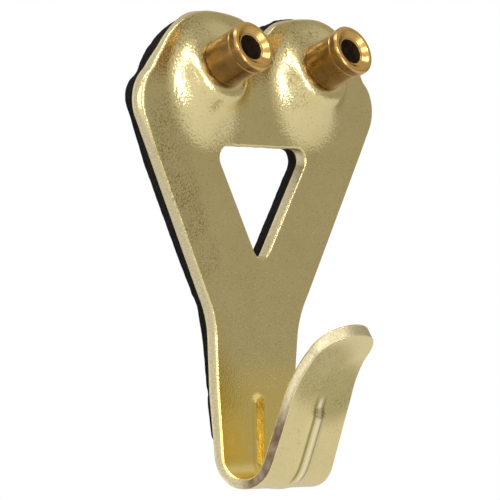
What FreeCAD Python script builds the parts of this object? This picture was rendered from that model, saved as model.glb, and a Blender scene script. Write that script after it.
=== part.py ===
import FreeCAD, Part
import Sketcher
import math
import os

# Nail-on picture hook: one pressed and bent sheet with two nail domes, a soft
# backing pad, and two slanted nails with turned brass heads.
#
# Frame: +Z up, +Y into the wall, +X to the right when facing the wall.
# Origin: on the wall plane (the back of the pad), in the hook's symmetry plane,
# at the height where the nails enter the wall.
# Heights in the sheet are counted from the underside of the hook's bend, and
# "f" sizes are counted forward from the flat front face of the sheet.

os.makedirs("parts", exist_ok=True)
doc = FreeCAD.newDocument("picture_hook")

# ---------------------------------------------------------------- dimensions
SIZES = [
    # name, millimetres (angles in degrees)
    ("nail_level", 37.70),        # wall entry of the nails above the underside
    ("pad_thick", 1.12),
    ("sheet_thick", 1.25),
    ("slab_width", 40.0),
    ("top_stock", 47.0),
    # side profile of the strip and the J hook, outer side
    ("back_bend_z", 8.60), ("back_tan_f", 0.843), ("back_tan_z", 2.790),
    ("bend_out_radius", 3.000), ("bend_f", 2.150),
    ("toe_f", 2.750), ("toe_out_radius", 3.400),
    ("leg_out_f", 5.935), ("leg_out_z", 2.209),
    ("flare_out_f", 8.334), ("flare_out_z", 8.612), ("flare_out_radius", 11.300),
    ("tip_out_f", 13.965), ("tip_out_z", 14.811),
    # side profile, inner side
    ("tip_in_f", 13.418), ("tip_in_z", 15.930), ("flare_in_radius", 12.550),
    ("flare_in_f", 7.165), ("flare_in_z", 9.045),
    ("leg_in_f", 4.642), ("leg_in_z", 2.313), ("toe_in_radius", 2.020),
    ("floor_z", 1.000), ("bend_in_radius", 1.880),
    ("front_tan_f", 0.2713), ("front_tan_z", 2.8038), ("front_bend_z", 9.500),
    # outline seen from the front, right half
    ("notch_z", 42.20), ("notch_radius", 1.500), ("notch_end_x", 0.970), ("notch_end_z", 42.556),
    ("brow_x", 1.550), ("brow_z", 43.050), ("brow_radius", 3.690),
    ("crest_x", 3.200), ("crest_z", 43.800), ("crest_radius", 18.270),
    ("lobe_x", 7.000), ("lobe_z", 44.200), ("lobe_radius", 6.820), ("lobe_end_x", 12.850), ("lobe_end_z", 40.700),
    ("waist_x", 13.950), ("waist_z", 39.100), ("waist_radius", 1.600),
    ("shoulder_x", 14.580), ("shoulder_z", 38.300), ("shoulder_radius", 3.600),
    ("arm_top_x", 15.140), ("arm_top_z", 33.800), ("arm_low_x", 6.780), ("arm_low_z", 17.800),
    ("neck_radius", 8.650), ("neck_x", 5.540), ("neck_z", 14.300),
    ("strip_x", 4.840), ("strip_z", 4.400), ("wall_low_x", 4.760), ("wall_low_z", 2.860),
    ("bend_mid_x", 4.580), ("bend_mid_z", 1.500), ("bend_x", 4.420), ("bend_top_z", 0.900),
    ("split_f", 2.450),
    ("toe_x", 4.220), ("toe_z", 1.800), ("leg_x", 4.120), ("leg_z", 2.900), ("leg_high_x", 3.920), ("leg_high_z", 9.000),
    ("lip_x", 3.420), ("lip_z", 12.600),
    ("lip_tilt", 52.0), ("lip_start", 15.930), ("lip_end", 19.350), ("lip_radius", 3.420),
    # window
    ("window_shift", 0.450), ("window_top_z", 31.840), ("window_top_x", 4.550),
    ("window_side_x", 5.640), ("window_side_z", 29.850), ("window_corner", 1.150),
    ("window_low_x", 0.950), ("window_low_z", 21.850), ("window_apex", 1.080),
    # domes, nails and heads
    ("nail_x", 6.740), ("nail_tilt", 22.5),
    ("cap_f", 1.650), ("left_cap_z", 39.200), ("right_cap_z", 39.550),
    ("cap_flat", 2.500), ("cap_round", 1.100), ("cap_round_u", 0.635), ("cap_round_v", 3.497),
    ("dome_depth", 5.000), ("dome_foot_v", 5.532),
    ("cavity_cap_u", 1.050), ("cavity_cap_v", 2.250), ("cavity_round_u", 1.400),
    ("cavity_round_v", 2.750), ("cavity_foot_v", 4.428),
    ("nail_hole", 0.760), ("dome_blend", 1.000),
    ("head_radius", 2.350), ("head_collar", 2.450), ("head_length", 4.250),
    ("collar_start", 3.320), ("head_neck", 2.270), ("neck_start", 3.180),
    ("head_bore", 1.240), ("head_seat_u", 1.300), ("head_rim", 2.230), ("rim_face", 1.960),
    ("sink_radius", 1.420), ("sink_depth", 0.420), ("head_chamfer", 0.130),
    ("shank_radius", 0.700), ("nail_disc_radius", 1.160), ("nail_disc_thick", 0.700),
    ("shank_end_u", 10.000), ("point_end_u", 12.000), ("point_flat", 0.080),
    ("pad_nail_hole", 0.820),
    # backing pad, cut a little smaller than the plate; it shows over the notch
    ("pad_notch_z", 42.250), ("pad_notch_radius", 1.500), ("pad_notch_end_x", 0.970), ("pad_notch_end_z", 42.606),
    ("pad_brow_x", 1.950), ("pad_brow_z", 43.250), ("pad_brow_radius", 8.600),
    ("pad_crest_x", 5.600), ("pad_crest_z", 44.240), ("pad_lobe_radius", 10.750),
    ("pad_lobe_x", 12.860), ("pad_lobe_z", 40.490),
    ("pad_waist_x", 13.840), ("pad_waist_z", 38.980), ("pad_waist_radius", 1.600),
    ("pad_shoulder_x", 14.860), ("pad_shoulder_z", 37.660), ("pad_shoulder_radius", 2.400),
    ("pad_arm_x", 15.050), ("pad_arm_z", 34.500), ("pad_mid_x", 12.970), ("pad_mid_z", 29.750),
    ("pad_low_x", 8.780), ("pad_low_z", 21.900), ("pad_neck_x", 6.900), ("pad_neck_z", 18.550),
    ("pad_strip_x", 5.730), ("pad_strip_z", 16.300),
    # backing pad tongue
    ("tongue_top_x", 5.150), ("tongue_top_z", 14.100), ("tongue_mid_x", 4.630),
    ("tongue_mid_z", 10.700), ("tongue_side_x", 4.180), ("tongue_side_z", 7.300),
    ("tongue_low_x", 3.720), ("tongue_low_z", 4.600),
    ("tongue_end_z", 2.900), ("tongue_radius", 4.920),
    # stiffening bead round the bend
    ("bead_root_half", 1.350), ("bead_out_height", 0.420), ("bead_out_root", 0.150),
    ("bead_lift_half", 1.200), ("bead_in_depth", 0.320), ("bead_in_lift", 0.150),
    ("ridge_tan_f", 0.540), ("ridge_back_radius", 2.700), ("ridge_low_z", 0.300),
    ("ridge_toe_f", 3.183), ("ridge_toe_radius", 2.938),
    ("bead_wall_f", 0.0446), ("bead_wall_z", 8.400), ("bead_leg_f", 7.956), ("bead_leg_z", 7.600),
    ("bead_in_leg_f", 6.780), ("bead_in_leg_z", 8.018),
]

sheet = doc.addObject("Spreadsheet::Sheet", "dims")
VAL = {}
for row, (name, value) in enumerate(SIZES, start=1):
    sheet.set("A%d" % row, name)
    sheet.set("B%d" % row, repr(float(value)))
    sheet.setAlias("B%d" % row, name)
    VAL[name] = float(value)
doc.recompute()


def size(*terms):
    """A length as a signed sum of named sizes: its number and its expression."""
    total = 0.0
    text = ""
    for term in terms:
        sign = -1.0 if term.startswith("-") else 1.0
        word = term.lstrip("+-")
        total += sign * VAL[word]
        text += (" - " if sign < 0 else (" + " if text else "")) + "dims." + word
    return total, text.strip() if text else "0"


ZERO = (0.0, None)


def up(name):
    """Height above the underside, turned into the frame's Z."""
    return size(name, "-nail_level")


def fwd(name=None, sign="+"):
    """Distance forward of the sheet's front face, turned into the frame's Y."""
    if name is None:
        return size("-pad_thick", "-sheet_thick")
    return size("-pad_thick", "-sheet_thick", ("-" if sign == "+" else "") + name)


def draw(sketch, path):
    """Closed wire of lines and arcs through named points.

    Each entry is (point, kind, radius, side): the segment leaves point towards
    the next one; an arc has its centre to the left (+1) or right (-1) of the way.
    """
    count = len(path)
    ends = []
    for i, (pt, kind, radius, side) in enumerate(path):
        nxt = path[(i + 1) % count][0]
        a = FreeCAD.Vector(pt[0][0], pt[1][0], 0)
        b = FreeCAD.Vector(nxt[0][0], nxt[1][0], 0)
        if kind == "line":
            geo = sketch.addGeometry(Part.LineSegment(a, b), False)
            ends.append((geo, 1, 2))
        else:
            r = radius[0]
            chord = b - a
            half = chord.Length / 2.0
            left = FreeCAD.Vector(-chord.y, chord.x, 0).normalize()
            centre = (a + b) * 0.5 + left * (side * math.sqrt(r * r - half * half))
            start, stop = (a, b) if side > 0 else (b, a)
            ang0 = math.atan2(start.y - centre.y, start.x - centre.x)
            ang1 = math.atan2(stop.y - centre.y, stop.x - centre.x)
            if ang1 <= ang0:
                ang1 += 2 * math.pi
            circle = Part.Circle(centre, FreeCAD.Vector(0, 0, 1), r)
            geo = sketch.addGeometry(Part.ArcOfCircle(circle, ang0, ang1), False)
            ends.append((geo, 1, 2) if side > 0 else (geo, 2, 1))
            con = sketch.addConstraint(Sketcher.Constraint("Radius", geo, r))
            sketch.setExpression("Constraints[%d]" % con, radius[1])
    for i in range(count):
        geo, first, last = ends[i]
        ngeo, nfirst, nlast = ends[(i + 1) % count]
        sketch.addConstraint(Sketcher.Constraint("Coincident", geo, last, ngeo, nfirst))
    for i, (pt, kind, radius, side) in enumerate(path):
        geo, first, last = ends[i]
        for word, axis, coord in (("DistanceX", -2, pt[0]), ("DistanceY", -1, pt[1])):
            if coord[1] is None:
                sketch.addConstraint(Sketcher.Constraint("PointOnObject", geo, first, axis))
            else:
                con = sketch.addConstraint(Sketcher.Constraint(word, geo, first, coord[0]))
                sketch.setExpression("Constraints[%d]" % con, coord[1])


def plane(body, role):
    return [f for f in body.Origin.OriginFeatures if f.Role == role][0]


def new_sketch(body, name, role, offset=None):
    sk = body.newObject("Sketcher::SketchObject", name)
    sk.AttachmentSupport = [(plane(body, role), "")]
    sk.MapMode = "FlatFace"
    if offset is not None:
        sk.AttachmentOffset = offset
    return sk


def line(pt):
    return (pt, "line", None, 0)


def arc(pt, radius, side):
    return (pt, "arc", size(radius), side)


def cut_check(before, body, what):
    doc.recompute()
    now = body.Shape.Volume
    print("%-28s %10.3f -> %10.3f" % (what, before, now))
    return now


# ------------------------------------------------------------- the plate
plate = doc.addObject("PartDesign::Body", "hook_plate")
plate.Label = "hook_plate"

side = new_sketch(plate, "side_profile", "YZ_Plane")
# Down the back, round the bend, up to the lip and back down inside. Y falls as
# the profile comes forward, so the way runs clockwise.
draw(side, [
    line((size("-pad_thick"), up("top_stock"))),
    line((size("-pad_thick"), up("back_bend_z"))),
    arc((fwd("back_tan_f", "-"), up("back_tan_z")), "bend_out_radius", -1),
    line((fwd("bend_f"), size("-nail_level"))),
    arc((fwd("toe_f"), size("-nail_level")), "toe_out_radius", -1),
    line((fwd("leg_out_f"), up("leg_out_z"))),
    arc((fwd("flare_out_f"), up("flare_out_z")), "flare_out_radius", 1),
    line((fwd("tip_out_f"), up("tip_out_z"))),
    arc((fwd("tip_in_f"), up("tip_in_z")), "flare_in_radius", -1),
    line((fwd("flare_in_f"), up("flare_in_z"))),
    arc((fwd("leg_in_f"), up("leg_in_z")), "toe_in_radius", 1),
    line((fwd("toe_f"), up("floor_z"))),
    arc((fwd("bend_f"), up("floor_z")), "bend_in_radius", 1),
    line((fwd("front_tan_f"), up("front_tan_z"))),
    line((fwd(), up("front_bend_z"))),
    line((fwd(), up("top_stock"))),
])
slab = plate.newObject("PartDesign::Pad", "bent_slab")
slab.Profile = side
slab.SideType = "Symmetric"
slab.Length = VAL["slab_width"]
slab.setExpression("Length", "dims.slab_width")
doc.recompute()
print("bent slab volume %.2f" % plate.Shape.Volume)

# Blanked outline of the lobes, arms, neck and strip (everything behind the
# split plane), right half; the mirror feature makes the left half.
split = FreeCAD.Placement(FreeCAD.Vector(0, 0, VAL["pad_thick"] + VAL["sheet_thick"] + VAL["split_f"]),
                          FreeCAD.Rotation())
OUTER_X = size("slab_width")
LOW = (-VAL["nail_level"] - 3.0, "0 - dims.nail_level - 3")
HIGH = up("top_stock")
HIGHER = (HIGH[0] + 2.0, HIGH[1] + " + 2")


def outline():
    """The right half of the blank, from the notch down to the strip's end."""
    return [
        arc((ZERO, up("notch_z")), "notch_radius", 1),
        line((size("notch_end_x"), up("notch_end_z"))),
        arc((size("brow_x"), up("brow_z")), "brow_radius", -1),
        arc((size("crest_x"), up("crest_z")), "crest_radius", -1),
        arc((size("lobe_x"), up("lobe_z")), "lobe_radius", -1),
        line((size("lobe_end_x"), up("lobe_end_z"))),
        arc((size("waist_x"), up("waist_z")), "waist_radius", 1),
        arc((size("shoulder_x"), up("shoulder_z")), "shoulder_radius", -1),
        line((size("arm_top_x"), up("arm_top_z"))),
        arc((size("arm_low_x"), up("arm_low_z")), "neck_radius", 1),
    ]


blank_cut = new_sketch(plate, "blank_waste", "XZ_Plane", split)
blank_cut.setExpression("AttachmentOffset.Base.z", "dims.pad_thick + dims.sheet_thick + dims.split_f")
draw(blank_cut, outline() + [
    line((size("neck_x"), up("neck_z"))),
    line((size("strip_x"), up("strip_z"))),
    line((size("wall_low_x"), up("wall_low_z"))),
    line((size("bend_mid_x"), up("bend_mid_z"))),
    line((size("bend_x"), up("bend_top_z"))),
    line((size("bend_x"), LOW)),
    line((OUTER_X, LOW)),
    line((OUTER_X, HIGHER)),
    line((ZERO, HIGHER)),
])
trim_back = plate.newObject("PartDesign::Pocket", "blank_trim")
trim_back.Profile = blank_cut
trim_back.Length = 6.0
trim_back.setExpression("Length", "dims.pad_thick + dims.sheet_thick + dims.split_f + 1")
vol = cut_check(slab.Shape.Volume, plate, "blank trim, right")

# The front leg and the sides of the lip are narrower than the strip.
leg_cut = new_sketch(plate, "leg_waste", "XZ_Plane", split)
leg_cut.setExpression("AttachmentOffset.Base.z", "dims.pad_thick + dims.sheet_thick + dims.split_f")
draw(leg_cut, [
    line((size("bend_x"), LOW)),
    line((OUTER_X, LOW)),
    line((OUTER_X, HIGH)),
    line((size("lip_x"), HIGH)),
    line((size("lip_x"), up("lip_z"))),
    line((size("leg_high_x"), up("leg_high_z"))),
    line((size("leg_x"), up("leg_z"))),
    line((size("toe_x"), up("toe_z"))),
    line((size("bend_x"), up("bend_top_z"))),
])
trim_leg = plate.newObject("PartDesign::Pocket", "leg_trim")
trim_leg.Profile = leg_cut
trim_leg.Length = 25.0
trim_leg.Reversed = True
vol = cut_check(vol, plate, "leg trim, right")

# Full-round end of the lip, blanked square to the sheet.
tilt = FreeCAD.Placement(
    FreeCAD.Vector(0, -VAL["nail_level"], VAL["pad_thick"] + VAL["sheet_thick"]),
    FreeCAD.Rotation(FreeCAD.Vector(1, 0, 0), VAL["lip_tilt"]))
lip_cut = new_sketch(plate, "lip_waste", "XZ_Plane", tilt)
lip_cut.setExpression("AttachmentOffset.Base.y", "0 - dims.nail_level")
lip_cut.setExpression("AttachmentOffset.Base.z", "dims.pad_thick + dims.sheet_thick")
lip_cut.setExpression("AttachmentOffset.Rotation.Angle", "dims.lip_tilt")
LIP_HIGH = (VAL["lip_end"] + 8.0, "dims.lip_end + 8")
draw(lip_cut, [
    arc((ZERO, size("lip_end")), "lip_radius", -1),
    line((size("lip_radius"), size("lip_start"))),
    line((OUTER_X, size("lip_start"))),
    line((OUTER_X, LIP_HIGH)),
    line((ZERO, LIP_HIGH)),
])
trim_lip = plate.newObject("PartDesign::Pocket", "lip_round")
trim_lip.Profile = lip_cut
trim_lip.SideType = "Symmetric"
trim_lip.Length = 26.0
vol = cut_check(vol, plate, "lip round, right")

mirror_trim = plate.newObject("PartDesign::Mirrored", "trim_left")
mirror_trim.Originals = [trim_back, trim_leg, trim_lip]
mirror_trim.MirrorPlane = (plane(plate, "YZ_Plane"), [""])
plate.Tip = mirror_trim
vol = cut_check(vol, plate, "same on the left")


def window_path():
    """The triangular window, clockwise from its top left corner."""
    def wx(name, sign):
        return size("window_shift", ("-" if sign < 0 else "") + name)
    return [
        line((wx("window_top_x", -1), up("window_top_z"))),
        arc((wx("window_top_x", 1), up("window_top_z")), "window_corner", -1),
        line((wx("window_side_x", 1), up("window_side_z"))),
        arc((wx("window_low_x", 1), up("window_low_z")), "window_apex", -1),
        line((wx("window_low_x", -1), up("window_low_z"))),
        arc((wx("window_side_x", -1), up("window_side_z")), "window_corner", -1),
    ]


window = new_sketch(plate, "window_outline", "XZ_Plane", split)
window.setExpression("AttachmentOffset.Base.z", "dims.pad_thick + dims.sheet_thick + dims.split_f")
draw(window, window_path())
window_cut = plate.newObject("PartDesign::Pocket", "window")
window_cut.Profile = window
window_cut.Length = 6.0
window_cut.setExpression("Length", "dims.pad_thick + dims.sheet_thick + dims.split_f + 1")
plate.Tip = window_cut
vol = cut_check(vol, plate, "window")

# Domes: each is a drawn cone about its slanted nail, closed by a flat cap that
# is square to the nail. The local x of each sketch is the nail's axis.
for hand, mark in (("left", -1.0), ("right", 1.0)):
    ang = 180.0 - VAL["nail_tilt"]
    seat = FreeCAD.Placement(
        FreeCAD.Vector(-VAL["pad_thick"] - VAL["sheet_thick"] - VAL["cap_f"],
                       VAL[hand + "_cap_z"] - VAL["nail_level"], mark * VAL["nail_x"]),
        FreeCAD.Rotation(FreeCAD.Vector(0, 0, 1), ang))

    def bind(sk):
        sk.setExpression("AttachmentOffset.Base.x", "0 - dims.pad_thick - dims.sheet_thick - dims.cap_f")
        sk.setExpression("AttachmentOffset.Base.y", "dims." + hand + "_cap_z - dims.nail_level")
        sk.setExpression("AttachmentOffset.Base.z", ("" if mark > 0 else "0 - ") + "dims.nail_x")
        sk.setExpression("AttachmentOffset.Rotation.Angle", "180 - dims.nail_tilt")

    outer = new_sketch(plate, hand + "_dome_profile", "YZ_Plane", seat)
    bind(outer)
    draw(outer, [
        line((ZERO, ZERO)),
        arc((ZERO, size("cap_flat")), "cap_round", 1),
        line((size("-cap_round_u"), size("cap_round_v"))),
        line((size("-dome_depth"), size("dome_foot_v"))),
        line((size("-dome_depth"), ZERO)),
    ])
    dome = plate.newObject("PartDesign::Revolution", hand + "_dome")
    dome.Profile = outer
    dome.ReferenceAxis = (outer, ["H_Axis"])
    dome.Angle = 360.0
    plate.Tip = dome
    vol = cut_check(vol, plate, hand + " dome added")

# What of the two cones stands out behind the sheet is cut back to the sheet's
# back plane, before the hollows are cut.
back_waste = new_sketch(plate, "back_waste", "YZ_Plane")
draw(back_waste, [
    line((size("-pad_thick"), up("notch_z"))),
    line((size("-pad_thick"), HIGHER)),
    line(((12.0, "dims.pad_thick + 10.88"), HIGHER)),
    line(((12.0, "dims.pad_thick + 10.88"), up("strip_z"))),
    line((size("-pad_thick"), up("strip_z"))),
])
back_trim = plate.newObject("PartDesign::Pocket", "back_trim")
back_trim.Profile = back_waste
back_trim.SideType = "Symmetric"
back_trim.Length = VAL["slab_width"]
back_trim.setExpression("Length", "dims.slab_width")
plate.Tip = back_trim
vol = cut_check(vol, plate, "back cut level")

for hand, mark in (("left", -1.0), ("right", 1.0)):
    seat = FreeCAD.Placement(
        FreeCAD.Vector(-VAL["pad_thick"] - VAL["sheet_thick"] - VAL["cap_f"],
                       VAL[hand + "_cap_z"] - VAL["nail_level"], mark * VAL["nail_x"]),
        FreeCAD.Rotation(FreeCAD.Vector(0, 0, 1), 180.0 - VAL["nail_tilt"]))
    inner = new_sketch(plate, hand + "_cavity_profile", "YZ_Plane", seat)
    inner.setExpression("AttachmentOffset.Base.x", "0 - dims.pad_thick - dims.sheet_thick - dims.cap_f")
    inner.setExpression("AttachmentOffset.Base.y", "dims." + hand + "_cap_z - dims.nail_level")
    inner.setExpression("AttachmentOffset.Base.z", ("" if mark > 0 else "0 - ") + "dims.nail_x")
    inner.setExpression("AttachmentOffset.Rotation.Angle", "180 - dims.nail_tilt")
    OUT = (1.5, "dims.sheet_thick + 0.25")
    draw(inner, [
        line((OUT, ZERO)),
        line((OUT, size("nail_hole"))),
        line((size("-cavity_cap_u"), size("nail_hole"))),
        line((size("-cavity_cap_u"), size("cavity_cap_v"))),
        line((size("-cavity_round_u"), size("cavity_round_v"))),
        line((size("-dome_depth"), size("cavity_foot_v"))),
        line((size("-dome_depth"), ZERO)),
    ])
    hollow = plate.newObject("PartDesign::Groove", hand + "_cavity")
    hollow.Profile = inner
    hollow.ReferenceAxis = (inner, ["H_Axis"])
    hollow.Angle = 360.0
    plate.Tip = hollow
    vol = cut_check(vol, plate, hand + " cavity and nail hole")

# Stiffening bead pressed along the middle of the strip, round the bend: a ridge
# on the outside and a groove on the inside.
def bead_path(body, name, pts):
    sk = new_sketch(body, name, "YZ_Plane")
    last = None
    for i in range(len(pts) - 1):
        (py, pz), kind, radius, sgn = pts[i]
        (qy, qz) = pts[i + 1][0]
        a = FreeCAD.Vector(py[0], pz[0], 0)
        b = FreeCAD.Vector(qy[0], qz[0], 0)
        if kind == "line":
            geo = sk.addGeometry(Part.LineSegment(a, b), False)
            first, second = 1, 2
        else:
            r = radius[0]
            chord = b - a
            half = chord.Length / 2.0
            left = FreeCAD.Vector(-chord.y, chord.x, 0).normalize()
            centre = (a + b) * 0.5 + left * (sgn * math.sqrt(r * r - half * half))
            start, stop = (a, b) if sgn > 0 else (b, a)
            ang0 = math.atan2(start.y - centre.y, start.x - centre.x)
            ang1 = math.atan2(stop.y - centre.y, stop.x - centre.x)
            if ang1 <= ang0:
                ang1 += 2 * math.pi
            geo = sk.addGeometry(Part.ArcOfCircle(Part.Circle(centre, FreeCAD.Vector(0, 0, 1), r), ang0, ang1), False)
            first, second = (1, 2) if sgn > 0 else (2, 1)
            con = sk.addConstraint(Sketcher.Constraint("Radius", geo, r))
            sk.setExpression("Constraints[%d]" % con, radius[1])
        if last is not None:
            sk.addConstraint(Sketcher.Constraint("Coincident", last[0], last[1], geo, first))
        for word, coord in (("DistanceX", py), ("DistanceY", pz)):
            con = sk.addConstraint(Sketcher.Constraint(word, geo, first, coord[0]))
            sk.setExpression("Constraints[%d]" % con, coord[1])
        last = (geo, second)
    (py, pz) = pts[-1][0]
    for word, coord in (("DistanceX", py), ("DistanceY", pz)):
        con = sk.addConstraint(Sketcher.Constraint(word, last[0], last[1], coord[0]))
        sk.setExpression("Constraints[%d]" % con, coord[1])
    return sk


# The ridge's path runs a little inside the sheet's outer face under the bend and
# on that face up the leg, so the ridge is low underneath and full on the leg.
ridge_way = bead_path(plate, "bead_outer_path", [
    ((fwd("ridge_tan_f", "-"), up("back_tan_z")), "arc", size("ridge_back_radius"), -1),
    ((fwd("bend_f"), up("ridge_low_z")), "line", None, 0),
    ((fwd("ridge_toe_f"), up("ridge_low_z")), "arc", size("ridge_toe_radius"), -1),
    ((fwd("leg_out_f"), up("leg_out_z")), "line", None, 0),
    ((fwd("bead_leg_f"), up("bead_leg_z")), "", None, 0),
])
groove_way = bead_path(plate, "bead_inner_path", [
    ((fwd("bead_wall_f"), up("bead_wall_z")), "line", None, 0),
    ((fwd("front_tan_f"), up("front_tan_z")), "arc", size("bend_in_radius"), -1),
    ((fwd("bend_f"), up("floor_z")), "line", None, 0),
    ((fwd("toe_f"), up("floor_z")), "arc", size("toe_in_radius"), -1),
    ((fwd("leg_in_f"), up("leg_in_z")), "line", None, 0),
    ((fwd("bead_in_leg_f"), up("bead_in_leg_z")), "", None, 0),
])


def flat_at(name):
    return FreeCAD.Placement(FreeCAD.Vector(0, 0, VAL[name] - VAL["nail_level"]), FreeCAD.Rotation())


ridge_cut = new_sketch(plate, "bead_ridge_section", "XY_Plane", flat_at("back_tan_z"))
ridge_cut.setExpression("AttachmentOffset.Base.z", "dims.back_tan_z - dims.nail_level")
root_y = size("-pad_thick", "-sheet_thick", "ridge_tan_f", "-bead_out_root")
draw(ridge_cut, [
    line((size("-bead_root_half"), root_y)),
    line((size("bead_root_half"), root_y)),
    line((ZERO, size("-pad_thick", "-sheet_thick", "ridge_tan_f", "bead_out_height"))),
])
doc.recompute()
ridge = plate.newObject("PartDesign::AdditivePipe", "bead_ridge")
ridge.Profile = ridge_cut
ridge.Spine = ridge_way
plate.Tip = ridge
vol = cut_check(vol, plate, "bead ridge")

groove_cut = new_sketch(plate, "bead_groove_section", "XY_Plane", flat_at("bead_wall_z"))
groove_cut.setExpression("AttachmentOffset.Base.z", "dims.bead_wall_z - dims.nail_level")
lift_y = size("-pad_thick", "-sheet_thick", "-bead_wall_f", "-bead_in_lift")
draw(groove_cut, [
    line((size("-bead_lift_half"), lift_y)),
    line((size("bead_lift_half"), lift_y)),
    line((ZERO, size("-pad_thick", "-sheet_thick", "-bead_wall_f", "bead_in_depth"))),
])
doc.recompute()
groove = plate.newObject("PartDesign::SubtractivePipe", "bead_groove")
groove.Profile = groove_cut
groove.Spine = groove_way
plate.Tip = groove
vol = cut_check(vol, plate, "bead groove, wall to leg")

# The domes blend into the flat of the sheet.
front_y = -VAL["pad_thick"] - VAL["sheet_thick"]
names = []
for i, edge in enumerate(plate.Shape.Edges, start=1):
    eb = edge.BoundBox
    if abs(eb.YMin - front_y) < 1e-3 and abs(eb.YMax - front_y) < 1e-3:
        mid = edge.valueAt((edge.FirstParameter + edge.LastParameter) / 2.0)
        for hand, mark in (("left", -1.0), ("right", 1.0)):
            dist = math.hypot(mid.x - mark * VAL["nail_x"], mid.z - (VAL[hand + "_cap_z"] - VAL["nail_level"] - 1.0))
            if dist < 5.6 and not edge.Curve.TypeId.endswith("Line"):
                names.append("Edge%d" % i)
                print("dome foot edge", i, edge.Curve.TypeId, "length %.2f" % edge.Length)
blend = plate.newObject("PartDesign::Fillet", "dome_blend")
blend.Base = (groove, names)
blend.Radius = VAL["dome_blend"]
blend.setExpression("Radius", "dims.dome_blend")
plate.Tip = blend
vol = cut_check(vol, plate, "dome blends")

print("plate", [(o.Name, o.State) for o in plate.Group if "Invalid" in o.State or "Error" in o.State])
print("plate valid", plate.Shape.isValid(), "solids", len(plate.Shape.Solids), plate.Shape.optimalBoundingBox())


# ------------------------------------------------------------ backing pad
pad = doc.addObject("PartDesign::Body", "backing_pad")
pad.Label = "backing_pad"
pad_half = new_sketch(pad, "pad_outline", "XZ_Plane")
draw(pad_half, [
    arc((ZERO, up("pad_notch_z")), "pad_notch_radius", 1),
    line((size("pad_notch_end_x"), up("pad_notch_end_z"))),
    arc((size("pad_brow_x"), up("pad_brow_z")), "pad_brow_radius", -1),
    arc((size("pad_crest_x"), up("pad_crest_z")), "pad_lobe_radius", -1),
    line((size("pad_lobe_x"), up("pad_lobe_z"))),
    arc((size("pad_waist_x"), up("pad_waist_z")), "pad_waist_radius", 1),
    arc((size("pad_shoulder_x"), up("pad_shoulder_z")), "pad_shoulder_radius", -1),
    line((size("pad_arm_x"), up("pad_arm_z"))),
    line((size("pad_mid_x"), up("pad_mid_z"))),
    line((size("pad_low_x"), up("pad_low_z"))),
    line((size("pad_neck_x"), up("pad_neck_z"))),
    line((size("pad_strip_x"), up("pad_strip_z"))),
    line((size("tongue_top_x"), up("tongue_top_z"))),
    line((size("tongue_mid_x"), up("tongue_mid_z"))),
    line((size("tongue_side_x"), up("tongue_side_z"))),
    arc((size("tongue_low_x"), up("tongue_low_z")), "tongue_radius", -1),
    line((ZERO, up("tongue_end_z"))),
])
pad_slab = pad.newObject("PartDesign::Pad", "pad_right")
pad_slab.Profile = pad_half
pad_slab.Length = VAL["pad_thick"]
pad_slab.setExpression("Length", "dims.pad_thick")
doc.recompute()
pad_both = pad.newObject("PartDesign::Mirrored", "pad_left")
pad_both.Originals = [pad_slab]
pad_both.MirrorPlane = (plane(pad, "YZ_Plane"), [""])
pad.Tip = pad_both
vol = cut_check(pad_slab.Shape.Volume, pad, "pad, both halves")
pad_window = new_sketch(pad, "pad_window", "XZ_Plane",
                        FreeCAD.Placement(FreeCAD.Vector(0, 0, VAL["pad_thick"] + 0.5), FreeCAD.Rotation()))
pad_window.setExpression("AttachmentOffset.Base.z", "dims.pad_thick + 0.5")
draw(pad_window, window_path())
pad_cut = pad.newObject("PartDesign::Pocket", "pad_window_cut")
pad_cut.Profile = pad_window
pad_cut.Length = 3.0
pad.Tip = pad_cut
vol = cut_check(vol, pad, "pad window")


def seat_of(hand, mark):
    return FreeCAD.Placement(
        FreeCAD.Vector(-VAL["pad_thick"] - VAL["sheet_thick"] - VAL["cap_f"],
                       VAL[hand + "_cap_z"] - VAL["nail_level"], mark * VAL["nail_x"]),
        FreeCAD.Rotation(FreeCAD.Vector(0, 0, 1), 180.0 - VAL["nail_tilt"]))


def bind_seat(sk, hand, mark):
    sk.setExpression("AttachmentOffset.Base.x", "0 - dims.pad_thick - dims.sheet_thick - dims.cap_f")
    sk.setExpression("AttachmentOffset.Base.y", "dims." + hand + "_cap_z - dims.nail_level")
    sk.setExpression("AttachmentOffset.Base.z", ("" if mark > 0 else "0 - ") + "dims.nail_x")
    sk.setExpression("AttachmentOffset.Rotation.Angle", "180 - dims.nail_tilt")


for hand, mark in (("left", -1.0), ("right", 1.0)):
    sk = new_sketch(pad, hand + "_pad_hole", "YZ_Plane", seat_of(hand, mark))
    bind_seat(sk, hand, mark)
    draw(sk, [
        line((ZERO, ZERO)),
        line((ZERO, size("pad_nail_hole"))),
        line((size("-shank_end_u"), size("pad_nail_hole"))),
        line((size("-shank_end_u"), ZERO)),
    ])
    hole = pad.newObject("PartDesign::Groove", hand + "_nail_way")
    hole.Profile = sk
    hole.ReferenceAxis = (sk, ["H_Axis"])
    hole.Angle = 360.0
    pad.Tip = hole
    vol = cut_check(vol, pad, hand + " nail way in pad")


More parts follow.
